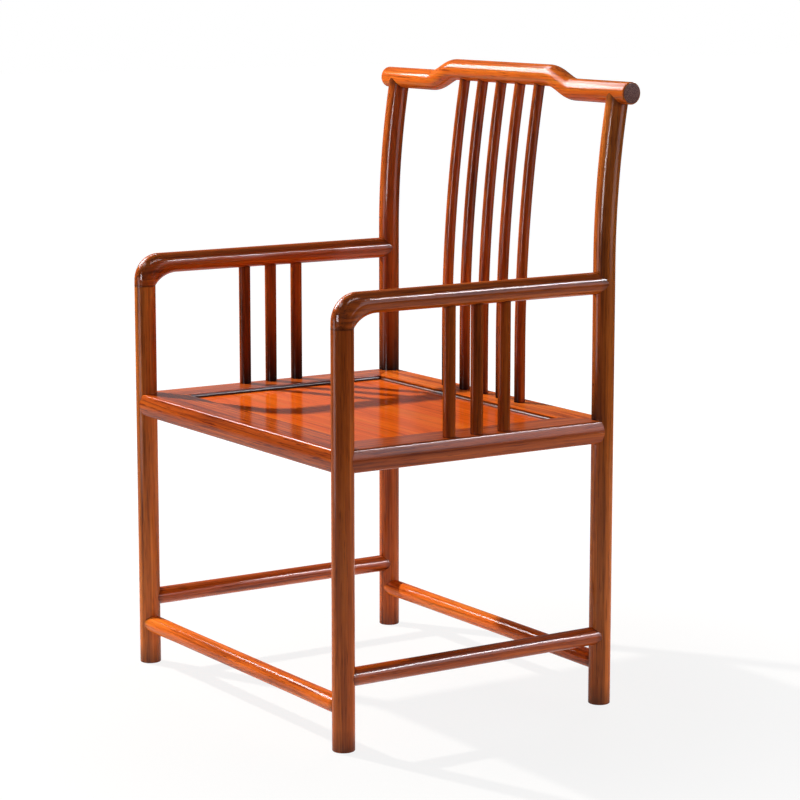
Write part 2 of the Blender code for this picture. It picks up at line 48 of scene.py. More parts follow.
# Chair sizes in metres, the same as those of the solids
GAP = 0.0003
LEG_SPACING_X = 0.586
LEG_SPACING_Y = 0.455
LEG_RADIUS = 0.0165
FOOT_EASE = 0.0015
BACK_BEND_HEIGHT = 0.671
BACK_BEND_RADIUS = 1.42
STRETCHER_RADIUS = 0.0134
SIDE_STRETCHER_HEIGHT = 0.1057
CROSS_STRETCHER_HEIGHT = 0.0641
SEAT_TOP = 0.4355
RAIL_THICKNESS = 0.034
RAIL_INSIDE = 0.047
RAIL_BULGE = 0.0036
CROSS_RAIL_NOSE = 0.016
SIDE_RAIL_NOSE = 0.0153
COVE_WIDTH = 0.004
COVE_WALL = 0.0022
PANEL_DROP = 0.0065
PANEL_THICKNESS = 0.012
TONGUE_THICKNESS = 0.006
TONGUE_DEPTH = 0.008
TONGUE_DROP = 0.0012
PANEL_FLOAT = 0.0012
ARM_HEIGHT = 0.64
ARM_RADIUS = 0.0159
ELBOW_OUTER_RADIUS = 0.04
ELBOW_INNER_RADIUS = 0.05
ELBOW_DROP = 0.018
ARM_SPINDLE_RADIUS = 0.0092
ARM_SPINDLE_PITCH = 0.048
BACK_SPINDLE_RADIUS = 0.0085
BACK_SPINDLE_PITCH = 0.05
BACK_SPINDLE_FORWARD = 0.0136
BACK_SPINDLE_BEND_HEIGHT = 0.523
CREST_HEIGHT = 0.9185
CREST_RADIUS = 0.0165
CREST_LENGTH = 0.65
CREST_END_EASE = 0.0018
CREST_RISE = 0.0187
CREST_RISE_STARTS = 0.1916
CREST_RISE_ENDS = 0.1246

# Places that follow from the sizes
CREST_SET_BACK = BACK_BEND_RADIUS - math.sqrt(BACK_BEND_RADIUS**2 - (CREST_HEIGHT - BACK_BEND_HEIGHT) ** 2)
MIDDLE_Y = -CREST_SET_BACK / 2
FRONT_Y = MIDDLE_Y - LEG_SPACING_Y / 2
BACK_Y = MIDDLE_Y + LEG_SPACING_Y / 2
CREST_Y = BACK_Y + CREST_SET_BACK
RIGHT_X = LEG_SPACING_X / 2
SEAM_HEIGHT = ARM_HEIGHT - ARM_RADIUS - ELBOW_DROP
RAIL_MIDDLE = SEAT_TOP - RAIL_THICKNESS / 2
INNER_FACE = RAIL_INSIDE + COVE_WIDTH
PANEL_TOP = SEAT_TOP - PANEL_DROP
UP = Vector((0, 0, 1))
RIGHT = Vector((1, 0, 0))
BACKWARDS = Vector((0, 1, 0))

# Bar ends that widen a little, so that the joints scribed to the posts come to a point
SHOULDER_WIDTH = 0.0152
SHOULDER_RUN = 0.11
ARM_END_RADIUS = 0.0164

# Facets of the bars, softened edges, and the levels below the seat's top that shape a rail's two long faces
THICK_SIDES = 64
THIN_SIDES = 40
SMOOTH_ANGLE = math.radians(38)
EDGE_ROUND = 0.0026
UNDER_EDGE_ROUND = 0.0032
LIP_ROUND = 0.0007
BOARD_EDGE_ROUND = 0.0005
BATTEN_EDGE_ROUND = 0.0015
COVE_LEVELS = [COVE_WALL, 0.0040, 0.0052, 0.0060, PANEL_DROP]
BULGE_LEVELS = [0.0085, 0.0115, 0.0145, 0.0170, 0.0195, 0.0225, 0.0255, 0.0285]
STRAIGHT = 1e-6
CLOSE = 1e-5

# Reach and darkness of painted shade: at seams and in the seat's groove, where lacquer also gathers; on the
# seat's side of posts and rods just above the seat; and of a darker floor end of each post
JOINT_SHADE = 0.002
FOOT_SHADE = 0.17
FLOOR_END_REACH = 0.036
JOINT_DARKNESS = 0.55
GROOVE_DARKNESS = 0.85
FLOOR_END_DARKNESS = 0.6


# Drawing with operators

def work_on(obj):
    """Makes one piece the only selected and active one."""
    bpy.ops.object.select_all(action="DESELECT")
    obj.select_set(True)
    bpy.context.view_layer.objects.active = obj


def settle(obj, name):
    """Names a piece and puts its place into its mesh."""
    obj.name = name
    obj.data.name = name
    work_on(obj)
    bpy.ops.object.transform_apply(location=True, rotation=True, scale=True)
    return obj


def smooth(obj):
    """Shades round faces smooth and keeps real edges crisp."""
    work_on(obj)
    bpy.ops.object.shade_smooth_by_angle(angle=SMOOTH_ANGLE)


def flatten_shading(obj):
    """Lets large flat faces set the shading of the small rounds beside them, so that they mirror straight."""
    weigh = obj.modifiers.new("weigh", "WEIGHTED_NORMAL")
    weigh.keep_sharp = True
    work_on(obj)
    bpy.ops.object.modifier_apply(modifier=weigh.name)


def turn_between(way, next_way):
    """Axis letter and right-handed angle of the turn between two directions in the YZ or the XZ plane."""
    across = way.cross(next_way)
    letter = "X" if abs(across.x) >= abs(across.y) else "Y"
    part = across.x if letter == "X" else across.y
    return letter, math.atan2(part, way.dot(next_way))


def draw_bar(name, stations, sides):
    """Draws a bar out of a disc, station by station.

    A station holds the middle, the direction, the radius in the plane of the bend and the radius across it.
    """
    middle, way, tall, wide = stations[0]
    turned = way.to_track_quat("Z", "Y").to_euler()
    bpy.ops.mesh.primitive_circle_add(
        vertices=sides, radius=wide, fill_type="NGON", location=middle, rotation=turned
    )
    bar = settle(bpy.context.object, name)
    bpy.ops.object.mode_set(mode="EDIT")
    bpy.ops.mesh.select_all(action="SELECT")
    for next_middle, next_way, next_tall, next_wide in stations[1:]:
        bpy.ops.mesh.extrude_region_move(TRANSFORM_OT_translate={"value": next_middle - middle})
        letter, angle = turn_between(way, next_way)
        if abs(angle) > STRAIGHT:
            bpy.ops.transform.rotate(value=-angle, orient_axis=letter, center_override=next_middle)
        if next_tall != tall or next_wide != wide:
            upright = next_way.cross(RIGHT) if abs(next_way.x) < 0.5 else next_way.cross(BACKWARDS)
            aside = upright.cross(next_way)
            bpy.ops.transform.resize(
                value=(next_wide / wide, next_tall / tall, 1),
                orient_type="GLOBAL",
                orient_matrix=(aside, upright, next_way),
                orient_matrix_type="GLOBAL",
                center_override=next_middle,
            )
        middle, way, tall, wide = next_middle, next_way, next_tall, next_wide
    bpy.ops.mesh.select_all(action="SELECT")
    bpy.ops.mesh.normals_make_consistent(inside=False)
    bpy.ops.object.mode_set(mode="OBJECT")
    return bar


def along_path(points, radius):
    """Stations of a round bar through points, with the direction of the path at each."""
    points = [Vector(p) for p in points]
    stations = []
    for i, point in enumerate(points):
        before = points[max(0, i - 1)]
        after = points[min(len(points) - 1, i + 1)]
        into = (point - before).normalized() if i else (after - point).normalized()
        onward = (after - point).normalized() if i < len(points) - 1 else into
        stations.append((point, (into + onward).normalized(), radius, radius))
    return stations


def eased_start(stations, ease, steps=4):
    """Rounds the edge of the bar's first end."""
    middle, way, tall, wide = stations[0]
    rounded = []
    for i in range(steps + 1):
        angle = math.pi / 2 * i / steps
        drop = ease * (1 - math.sin(angle))
        inward = ease * (1 - math.cos(angle))
        rounded.append((middle + way * inward, way, tall - drop, wide - drop))
    return rounded + stations[1:]


def reversed_way(stations):
    """The same stations, walked from the other end."""
    return [(middle, -way, tall, wide) for middle, way, tall, wide in stations[::-1]]


def cut(piece, cutter):
    """Scribes a piece to a cutter's surface."""
    scribe = piece.modifiers.new("scribe", "BOOLEAN")
    scribe.operation = "DIFFERENCE"
    scribe.solver = "EXACT"
    scribe.object = cutter
    work_on(piece)
    bpy.ops.object.modifier_apply(modifier=scribe.name)


def copied(piece, name, shift=(0, 0, 0), half_turn=False):
    """A copy with a mesh of its own, moved, or turned half round about the middle of the seat."""
    work_on(piece)
    bpy.ops.object.duplicate()
    twin = bpy.context.object
    if half_turn:
        twin.rotation_euler = (0, 0, math.pi)
        twin.location = (0, 2 * MIDDLE_Y, 0)
    else:
        twin.location = shift
    return settle(twin, name)


def pick(obj, wanted, kind="FACE"):
    """In edit mode, selects only the faces, edges or vertices that a test accepts."""
    bpy.ops.mesh.select_mode(type=kind)
    bpy.ops.mesh.select_all(action="DESELECT")
    bm = bmesh.from_edit_mesh(obj.data)
    items = {"FACE": bm.faces, "EDGE": bm.edges, "VERT": bm.verts}[kind]
    for item in items:
        if wanted(item):
            item.select_set(True)
    bm.select_flush_mode()
    bmesh.update_edit_mesh(obj.data)


def level_with(vertex, height):
    """Whether a vertex in edit mode lies at a height."""
    return abs(vertex.co.z - height) < CLOSE


def steps_between(first, last, count):
    """Evenly spaced values from the first to the last."""
    return [first + (last - first) * i / count for i in range(count + 1)]


def mark(piece, layer_name, wanted, strength):
    """Marks the points of a piece that a test accepts, for its material to read."""
    layer = piece.data.attributes.new(layer_name, "FLOAT", "POINT")
    for vertex, value in zip(piece.data.vertices, layer.data):
        value.value = strength if wanted(vertex.co) else 0.0


def shade_joints(piece, near_joint, strength=JOINT_DARKNESS):
    """Marks painted shade on the skin next to a joint or in a groove, where lacquer also gathers."""
    mark(piece, "joint", near_joint, strength)


def shade_foot(piece, node):
    """Marks painted shade just above the seat on the seat's side, and a darker floor end of a post."""
    layer = piece.data.attributes.new("foot", "FLOAT", "POINT")
    low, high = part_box(node)
    axis = (low + high) / 2
    for vertex, value in zip(piece.data.vertices, layer.data):
        if node.startswith("back"):
            place = back_leg_place if node.startswith("back_leg") else back_spindle_place
            axis.y = place(vertex.co.z).y
        share = max(0.0, vertex.co.z - SEAT_TOP) / FOOT_SHADE
        # Darker towards the floor end of a post
        if vertex.co.z < FLOOR_END_REACH:
            value.value = FLOOR_END_DARKNESS * (1 - vertex.co.z / FLOOR_END_REACH)
        # Painted shade on the side of a post or rod that faces the seat, fading out upwards from the seat
        elif vertex.co.z > SEAT_TOP - GAP and share <= 1 and not node.startswith("front"):
            outward = (vertex.co - axis).to_2d().normalized()
            inward = (BACKWARDS * MIDDLE_Y - axis).to_2d().normalized()
            facing = min(1.0, max(0.0, 0.5 + 1.1 * outward.dot(inward)))
            value.value = facing * (1 - share) ** 1.5


def wear_and_highlight_edges(piece, on_edge):
    """Marks eased edges for lighter patches: rubbed lacquer, and a painted highlight where the edge catches
    light.
    """
    mark(piece, "edge", on_edge, 1.0)


# Bars

def back_leg_place(height):
    """A back leg's axis at a height, for the leg at x = 0."""
    rise = max(0.0, height - BACK_BEND_HEIGHT)
    return Vector((0, BACK_Y + BACK_BEND_RADIUS - math.sqrt(BACK_BEND_RADIUS**2 - rise**2), height))


def back_spindle_place(height):
    """A back spindle's axis at a height, for the spindle at x = 0."""
    rise = max(0.0, height - BACK_SPINDLE_BEND_HEIGHT)
    reach = CREST_HEIGHT + CREST_RISE - BACK_SPINDLE_BEND_HEIGHT
    sag = BACK_SPINDLE_FORWARD + CREST_SET_BACK
    radius = (reach**2 + sag**2) / (2 * sag)
    return Vector((0, BACK_Y - BACK_SPINDLE_FORWARD + radius - math.sqrt(radius**2 - rise**2), height))


def crest_place(x):
    """The crest rail's axis at a distance from its middle."""
    share = (CREST_RISE_STARTS - abs(x)) / (CREST_RISE_STARTS - CREST_RISE_ENDS)
    share = min(1.0, max(0.0, share))
    return Vector((x, CREST_Y, CREST_HEIGHT + CREST_RISE * (1 - math.cos(math.pi * share)) / 2))


def leg_space(name, x, y):
    """The round space of a leg, which bars and rails are scribed to."""
    points = [Vector((x, y, -LEG_RADIUS)), Vector((x, y, BACK_BEND_HEIGHT))]
    return draw_bar(name, along_path(points, LEG_RADIUS + GAP), THICK_SIDES)


def draw_front_leg():
    """The right front post, up to the seam under the elbow."""
    top = SEAM_HEIGHT - GAP
    heights = steps_between(0, FLOOR_END_REACH, 3) + [SEAT_TOP, top - JOINT_SHADE, top]
    stations = along_path([(RIGHT_X, FRONT_Y, z) for z in heights], LEG_RADIUS)
    leg = draw_bar("front_post_right", eased_start(stations, FOOT_EASE), THICK_SIDES)
    shade_joints(leg, lambda place: place.z > top - GAP)
    wear_and_highlight_edges(leg, lambda place: place.z < FOOT_EASE)
    return leg


def draw_back_leg(crest_space):
    """The right back post, bent backwards above the arm and scribed under the crest rail."""
    heights = steps_between(0, FLOOR_END_REACH, 3) + [SEAT_TOP - JOINT_SHADE]
    heights += steps_between(SEAT_TOP, SEAT_TOP + FOOT_SHADE, 8)
    heights += steps_between(BACK_BEND_HEIGHT, CREST_HEIGHT, 22)
    points = [back_leg_place(z) + RIGHT * RIGHT_X for z in heights]
    leg = draw_bar("back_post_right", eased_start(along_path(points, LEG_RADIUS), FOOT_EASE), THICK_SIDES)
    cut(leg, crest_space)
    shade_joints(leg, lambda place: place.z > CREST_HEIGHT - CREST_RADIUS)
    wear_and_highlight_edges(leg, lambda place: place.z < FOOT_EASE)
    return leg


def draw_crest():
    """The yoke rail, with level ends, a raised middle and eased end faces."""
    half = CREST_LENGTH / 2
    rise = steps_between(CREST_RISE_STARTS, CREST_RISE_ENDS, 24)
    xs = [-half] + [-x for x in rise] + rise[::-1] + [half]
    stations = eased_start(along_path([crest_place(x) for x in xs], CREST_RADIUS), CREST_END_EASE)
    stations = reversed_way(eased_start(reversed_way(stations), CREST_END_EASE))
    crest = draw_bar("yoke_rail", stations, THICK_SIDES)
    wear_and_highlight_edges(crest, lambda place: abs(place.x) > half - CREST_END_EASE / 2)
    return crest


def shoulder(reach):
    """Half the width of a stretcher at a distance from a leg's axis: it widens to grip the leg in a point."""
    share = min(1, max(0, (reach - LEG_RADIUS - JOINT_SHADE) / SHOULDER_RUN))
    return SHOULDER_WIDTH + (STRETCHER_RADIUS - SHOULDER_WIDTH) * share * share * (3 - 2 * share)


def draw_stretcher(name, start, end, leg_spaces):
    """A stretcher between two leg axes, scribed to both legs."""
    way = (end - start).normalized()
    length = (end - start).length
    near = LEG_RADIUS + JOINT_SHADE
    reaches = [GAP] + steps_between(near, near + SHOULDER_RUN, 12)
    stations = [(start, way, STRETCHER_RADIUS, STRETCHER_RADIUS)]
    for reach in reaches:
        stations.append((start + way * reach, way, STRETCHER_RADIUS, shoulder(reach)))
    for reach in reversed(reaches):
        stations.append((end - way * reach, way, STRETCHER_RADIUS, shoulder(reach)))
    stations.append((end, way, STRETCHER_RADIUS, STRETCHER_RADIUS))
    bar = draw_bar(name, stations, THICK_SIDES)
    for space in leg_spaces:
        cut(bar, space)
    skin = LEG_RADIUS + GAP
    shade_joints(bar, lambda place: not skin < (place - start).dot(way) < length - skin)
    return bar


def draw_arm_spindle(arm_space):
    """The first spindle under the right arm."""
    y = MIDDLE_Y - ARM_SPINDLE_PITCH
    foot = SEAT_TOP + GAP
    head = ARM_HEIGHT - ARM_RADIUS
    shaded = steps_between(foot + JOINT_SHADE, SEAT_TOP + FOOT_SHADE, 8)
    heights = [foot] + shaded + [head - JOINT_SHADE, ARM_HEIGHT]
    stations = along_path([(RIGHT_X, y, z) for z in heights], ARM_SPINDLE_RADIUS)
    spindle = draw_bar("arm_rod_right_1", stations, THIN_SIDES)
    cut(spindle, arm_space)
    shade_joints(spindle, lambda place: place.z < foot + GAP or place.z > head - GAP)
    return spindle


def draw_back_spindle(crest_space):
    """The first bent spindle of the back."""
    foot = SEAT_TOP + GAP
    head = CREST_HEIGHT + CREST_RISE - CREST_RADIUS
    bend = steps_between(BACK_SPINDLE_BEND_HEIGHT, head - JOINT_SHADE, 24)
    straight = steps_between(foot + JOINT_SHADE, BACK_SPINDLE_BEND_HEIGHT, 5)
    heights = [foot] + straight[:-1] + bend + [head + CREST_RADIUS]
    points = [back_spindle_place(z) - RIGHT * 2 * BACK_SPINDLE_PITCH for z in heights]
    spindle = draw_bar("back_rod_1", along_path(points, BACK_SPINDLE_RADIUS), THIN_SIDES)
    cut(spindle, crest_space)
    shade_joints(spindle, lambda place: place.z < foot + GAP or place.z > head - GAP)
    return spindle


def elbow_run():
    """How far behind the post the hollow under the elbow runs out into the arm's underside."""
    return math.sqrt(ELBOW_INNER_RADIUS**2 - (ELBOW_INNER_RADIUS - ELBOW_DROP) ** 2)


def elbow_outer(share):
    """A point on the arm's outer line, from the seam to the level run."""
    top = ARM_HEIGHT + ARM_RADIUS
    radius = ELBOW_OUTER_RADIUS
    upright = top - radius - SEAM_HEIGHT
    arc = radius * math.pi / 2
    level = 2 * LEG_RADIUS + elbow_run() - radius
    travel = share * (upright + arc + level)
    if travel < upright:
        return Vector((0, -LEG_RADIUS, SEAM_HEIGHT + travel))
    if travel < upright + arc:
        angle = (travel - upright) / radius
        return Vector((0, radius * (1 - math.cos(angle)) - LEG_RADIUS, top - radius * (1 - math.sin(angle))))
    return Vector((0, radius - LEG_RADIUS + travel - upright - arc, top))


def elbow_inner(share):
    """A point on the hollow under the elbow."""
    sweep = math.asin(elbow_run() / ELBOW_INNER_RADIUS) * (1 - share)
    behind = LEG_RADIUS + elbow_run() - ELBOW_INNER_RADIUS * math.sin(sweep)
    return Vector((0, behind, ARM_HEIGHT - ARM_RADIUS - ELBOW_INNER_RADIUS * (1 - math.cos(sweep))))


def draw_arm(post_space):
    """The right arm, which turns down in a thick elbow onto the front post."""
    place = Vector((RIGHT_X, FRONT_Y, 0))
    stations = []
    for share in [0.0, 0.04] + steps_between(0.08, 1.0, 26):
        outer = elbow_outer(share)
        inner = elbow_inner(share)
        reach = (outer - inner) / 2
        way = RIGHT.cross(reach).normalized() * -1
        wide = LEG_RADIUS + (ARM_RADIUS - LEG_RADIUS) * share
        stations.append((place + (outer + inner) / 2, way, reach.length, wide))
    for y in (BACK_Y - LEG_RADIUS - JOINT_SHADE, BACK_Y):
        stations.append((Vector((RIGHT_X, y, ARM_HEIGHT)), BACKWARDS, ARM_END_RADIUS, ARM_END_RADIUS))
    arm = draw_bar("arm_bar_right", stations, THICK_SIDES)
    cut(arm, post_space)
    shade_joints(arm, lambda spot: spot.z < SEAM_HEIGHT + GAP or spot.y > BACK_Y - LEG_RADIUS - GAP)
    return arm


# Seat

def rail_outline(level, nose):
    """How far out a rail's outer face and its inner face lie at a level below the seat's top."""
    half = RAIL_THICKNESS / 2
    radius = (half**2 + RAIL_BULGE**2) / (2 * RAIL_BULGE)
    outer = nose - radius + math.sqrt(radius**2 - (half - level) ** 2)
    if level <= COVE_WALL:
        return outer, RAIL_INSIDE
    fall = min(1.0, (level - COVE_WALL) / (PANEL_DROP - COVE_WALL))
    return outer, RAIL_INSIDE + COVE_WIDTH * (1 - math.sqrt(1 - fall**2))


def draw_rail(name, length, nose):
    """A mitred rail, drawn along X with its outer face towards -Y and the leg axes on y = 0."""
    edge = nose - RAIL_BULGE
    bpy.ops.mesh.primitive_cube_add(
        size=1,
        location=(0, (INNER_FACE - edge) / 2, RAIL_MIDDLE),
        scale=(length, INNER_FACE + edge, RAIL_THICKNESS),
    )
    rail = settle(bpy.context.object, name)
    bpy.ops.object.mode_set(mode="EDIT")
    levels = COVE_LEVELS + BULGE_LEVELS
    for level in levels:
        bpy.ops.mesh.select_all(action="SELECT")
        bpy.ops.mesh.bisect(plane_co=(0, 0, SEAT_TOP - level), plane_no=(0, 0, 1))
    for level in [0] + levels:
        outer, inner = rail_outline(level, nose)
        height = SEAT_TOP - level
        pick(rail, lambda v: level_with(v, height) and v.co.y < 0, "VERT")
        bpy.ops.transform.translate(value=(0, edge - outer, 0))
        pick(rail, lambda v: level_with(v, height) and v.co.y > 0, "VERT")
        bpy.ops.transform.translate(value=(0, inner - INNER_FACE, 0))
    bottom = SEAT_TOP - RAIL_THICKNESS
    for height, width in ((SEAT_TOP, EDGE_ROUND), (bottom, UNDER_EDGE_ROUND)):
        pick(rail, lambda e: all(level_with(v, height) and v.co.y < 0 for v in e.verts), "EDGE")
        bpy.ops.mesh.bevel(offset=width, segments=4, affect="EDGES")
    lip = RAIL_INSIDE - GAP
    pick(rail, lambda e: all(level_with(v, SEAT_TOP) and v.co.y > lip for v in e.verts), "EDGE")
    bpy.ops.mesh.bevel(offset=LIP_ROUND, segments=2, affect="EDGES")
    for end in (-1, 1):
        bpy.ops.mesh.select_all(action="SELECT")
        across = Vector((end, 1, 0)).normalized()
        bpy.ops.mesh.bisect(
            plane_co=Vector((end * length / 2, 0, 0)) - across * GAP / 2,
            plane_no=across,
            clear_outer=True,
            use_fill=True,
        )
    bpy.ops.object.mode_set(mode="OBJECT")
    wear_and_highlight_edges(rail, lambda place: place.y < 0 and GAP / 10 < SEAT_TOP - place.z < EDGE_ROUND - GAP)
    return rail


def draw_panel():
    """The sunk seat board, with a raised field inside its tongue."""
    half_x = RIGHT_X - INNER_FACE + TONGUE_DEPTH
    half_y = LEG_SPACING_Y / 2 - INNER_FACE + TONGUE_DEPTH
    middle = PANEL_TOP - TONGUE_DROP - TONGUE_THICKNESS / 2
    bpy.ops.mesh.primitive_cube_add(
        size=1, location=(0, MIDDLE_Y, middle), scale=(2 * half_x, 2 * half_y, TONGUE_THICKNESS)
    )
    panel = settle(bpy.context.object, "seat_board")
    bpy.ops.object.mode_set(mode="EDIT")
    below = PANEL_THICKNESS - TONGUE_THICKNESS - TONGUE_DROP
    for facing, height in ((1, TONGUE_DROP), (-1, below)):
        pick(panel, lambda face: face.normal.z * facing > 0.9)
        bpy.ops.mesh.inset(thickness=TONGUE_DEPTH + PANEL_FLOAT, use_even_offset=True)
        bpy.ops.mesh.extrude_region_move(TRANSFORM_OT_translate={"value": (0, 0, facing * height)})
    pick(panel, lambda e: all(level_with(v, PANEL_TOP) for v in e.verts), "EDGE")
    bpy.ops.mesh.bevel(offset=BOARD_EDGE_ROUND, segments=2, affect="EDGES")
    bpy.ops.object.mode_set(mode="OBJECT")
    # Painted shade on the board's edges and underside, down in the groove, where lacquer also gathers
    shade_joints(panel, lambda place: place.z < PANEL_TOP - BOARD_EDGE_ROUND - GAP)
    wear_and_highlight_edges(panel, lambda place: GAP / 10 < PANEL_TOP - place.z < BOARD_EDGE_ROUND - GAP / 10)
    return panel


def draw_batten():
    """The right batten under the seat board, with eased edges."""
    low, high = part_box("seat_batten_right")
    length = LEG_SPACING_Y - 2 * INNER_FACE - 2 * GAP
    bpy.ops.mesh.primitive_cube_add(
        size=1,
        location=((low.x + high.x) / 2, MIDDLE_Y, (low.z + high.z) / 2),
        scale=(high.x - low.x, length, high.z - low.z),
    )
    batten = settle(bpy.context.object, "seat_bearer_right")
    bpy.ops.object.mode_set(mode="EDIT")
    pick(batten, lambda e: abs(e.verts[0].co.y - e.verts[1].co.y) > length / 2, "EDGE")
    bpy.ops.mesh.bevel(offset=BATTEN_EDGE_ROUND, segments=3, affect="EDGES")
    bpy.ops.object.mode_set(mode="OBJECT")
    return batten


def groove_for(panel_low, panel_high):
    """The space of the seat board's tongue, with its clearance."""
    middle = (panel_low + panel_high) / 2
    size = panel_high - panel_low
    bpy.ops.mesh.primitive_cube_add(
        size=1,
        location=(middle.x, middle.y, PANEL_TOP - TONGUE_DROP - TONGUE_THICKNESS / 2),
        scale=(size.x + 2 * PANEL_FLOAT, size.y + 2 * PANEL_FLOAT, TONGUE_THICKNESS + 2 * GAP),
    )
    return settle(bpy.context.object, "tongue_space")


# Materials

NODE_SPACING = 190
GRAIN_DEPTH = 0.0012
END_GRAIN_DEPTH = 0.0004
LACQUER_IOR = 1.5
# Colour of the painted shade above the seat and of the darker floor ends
PAINTED_SHADE_AND_FLOOR_END_COLOUR = (0.014, 0.004, 0.003, 1)
# Colour of the painted shade at seams and in grooves, where lacquer also gathers
SEAM_LACQUER_AND_PAINTED_SHADE_COLOUR = (0.025, 0.006, 0.002, 1)


def add_node(tree, kind, place, **settings):
    """A node at a place of the editor, with its settings."""
    node = tree.nodes.new(kind)
    node.location = (place[0] * NODE_SPACING, place[1] * NODE_SPACING)
    for key, value in settings.items():
        setattr(node, key, value)
    return node


def add_sockets(group, way, kind, *names):
    """Named inputs or outputs of one kind on a node group."""
    for name in names:
        group.interface.new_socket(name, in_out=way, socket_type="NodeSocket" + kind)


def math_node(tree, place, operation, first, second):
    """A maths node on two sockets or numbers."""
    node = add_node(tree, "ShaderNodeMath", place, operation=operation)
    for socket, value in zip(node.inputs, (first, second)):
        if isinstance(value, (int, float)):
            socket.default_value = value
        else:
            tree.links.new(value, socket)
    return node.outputs[0]


def ramp_between(tree, place, value, low, high, first=0.0, last=1.0):
    """A smooth step of a value between two limits."""
    node = add_node(tree, "ShaderNodeMapRange", place, interpolation_type="SMOOTHSTEP")
    tree.links.new(value, node.inputs["Value"])
    for name, number in (("From Min", low), ("From Max", high), ("To Min", first), ("To Max", last)):
        node.inputs[name].default_value = number
    return node.outputs["Result"]


def mixed(tree, place, share, first, second, blend="MIX"):
    """A colour mix of two sockets or colours."""
    node = add_node(tree, "ShaderNodeMix", place, data_type="RGBA", blend_type=blend)
    slots = {"share": node.inputs[0], "first": node.inputs[6], "second": node.inputs[7]}
    for key, value in (("share", share), ("first", first), ("second", second)):
        if isinstance(value, (int, float, tuple)):
            slots[key].default_value = value
        else:
            tree.links.new(value, slots[key])
    return node.outputs[2]


def stretched_noise(tree, place, vector, stretch, detail, roughness=0.55):
    """Noise that is drawn out along the grain."""
    scaled = add_node(tree, "ShaderNodeVectorMath", place, operation="MULTIPLY")
    tree.links.new(vector, scaled.inputs[0])
    scaled.inputs[1].default_value = stretch
    noise = add_node(tree, "ShaderNodeTexNoise", (place[0] + 1, place[1]))
    tree.links.new(scaled.outputs[0], noise.inputs["Vector"])
    noise.inputs["Scale"].default_value = 1.0
    noise.inputs["Detail"].default_value = detail
    noise.inputs["Roughness"].default_value = roughness
    return noise.outputs["Fac"]


def wood_figure_group():
    """Figure of lacquered hardwood. The grain runs along X of the vector, which is in metres."""
    group = bpy.data.node_groups.new("wood_figure", "ShaderNodeTree")
    add_sockets(group, "INPUT", "Vector", "Vector")
    add_sockets(group, "INPUT", "Color", "Dark", "Middle", "Light")
    add_sockets(group, "INPUT", "Float", "Streaks", "Gloss")
    add_sockets(group, "OUTPUT", "Color", "Colour")
    add_sockets(group, "OUTPUT", "Float", "Roughness", "Height")
    given = add_node(group, "NodeGroupInput", (-6, 0))
    result = add_node(group, "NodeGroupOutput", (8, 0))
    vector = given.outputs["Vector"]

    patches = stretched_noise(group, (-5, 3), vector, (2.6, 34, 34), 3)
    fibres = stretched_noise(group, (-5, 2), vector, (6, 230, 230), 3, 0.6)
    hairs = stretched_noise(group, (-5, 1), vector, (24, 560, 560), 2)
    waves = stretched_noise(group, (-5, -3), vector, (9, 38, 38), 1)

    squeezed = add_node(group, "ShaderNodeVectorMath", (-5, -1), operation="MULTIPLY")
    group.links.new(vector, squeezed.inputs[0])
    squeezed.inputs[1].default_value = (0.05, 1, 1)
    rings = add_node(group, "ShaderNodeTexWave", (-4, -1), wave_type="RINGS", rings_direction="X")
    rings.wave_profile = "SAW"
    group.links.new(squeezed.outputs[0], rings.inputs["Vector"])
    rings.inputs["Scale"].default_value = 38
    rings.inputs["Distortion"].default_value = 9
    rings.inputs["Detail"].default_value = 2.5
    rings.inputs["Detail Scale"].default_value = 0.75
    rings.inputs["Detail Roughness"].default_value = 0.55
    ring = rings.outputs["Fac"]

    tone = math_node(group, (-2, 2), "MULTIPLY", patches, 0.42)
    tone = math_node(group, (-1, 2), "ADD", tone, math_node(group, (-2, 1), "MULTIPLY", fibres, 0.48))
    tone = math_node(group, (0, 2), "ADD", tone, math_node(group, (-2, 0), "MULTIPLY", ring, 0.1))
    low = ramp_between(group, (1, 2), tone, 0.33, 0.50)
    high = ramp_between(group, (1, 1), tone, 0.48, 0.65)
    colour = mixed(group, (2, 2), low, given.outputs["Dark"], given.outputs["Middle"])
    colour = mixed(group, (3, 2), high, colour, given.outputs["Light"])

    line = ramp_between(group, (1, 0), ring, 0.74, 0.97)
    broken = ramp_between(group, (1, -1), fibres, 0.36, 0.62, 0.2, 1.0)
    line = math_node(group, (2, 0), "MULTIPLY", line, broken)
    line = math_node(group, (3, 0), "MULTIPLY", line, given.outputs["Streaks"])
    shaded = mixed(group, (4, 1), 1.0, colour, (0.34, 0.24, 0.2, 1), "MULTIPLY")
    colour = mixed(group, (5, 1), line, colour, shaded)
    pores = ramp_between(group, (1, -2), hairs, 0.56, 0.7)
    pored = mixed(group, (5, 0), 1.0, colour, (0.36, 0.27, 0.25, 1), "MULTIPLY")
    share = math_node(group, (4, -1), "MULTIPLY", pores, given.outputs["Streaks"])
    colour = mixed(group, (6, 1), share, colour, pored)
    group.links.new(colour, result.inputs["Colour"])

    worn = ramp_between(group, (3, -2), waves, 0.3, 0.75, 0.0, 0.12)
    rough = math_node(group, (4, -2), "ADD", given.outputs["Gloss"], worn)
    rough = math_node(group, (5, -2), "ADD", rough, math_node(group, (4, -3), "MULTIPLY", pores, 0.1))
    group.links.new(rough, result.inputs["Roughness"])

    height = math_node(group, (4, -4), "ADD", waves, math_node(group, (3, -5), "MULTIPLY", fibres, 0.07))
    height = math_node(group, (5, -4), "SUBTRACT", height, math_node(group, (4, -5), "MULTIPLY", pores, 0.03))
    group.links.new(height, result.inputs["Height"])
    return group


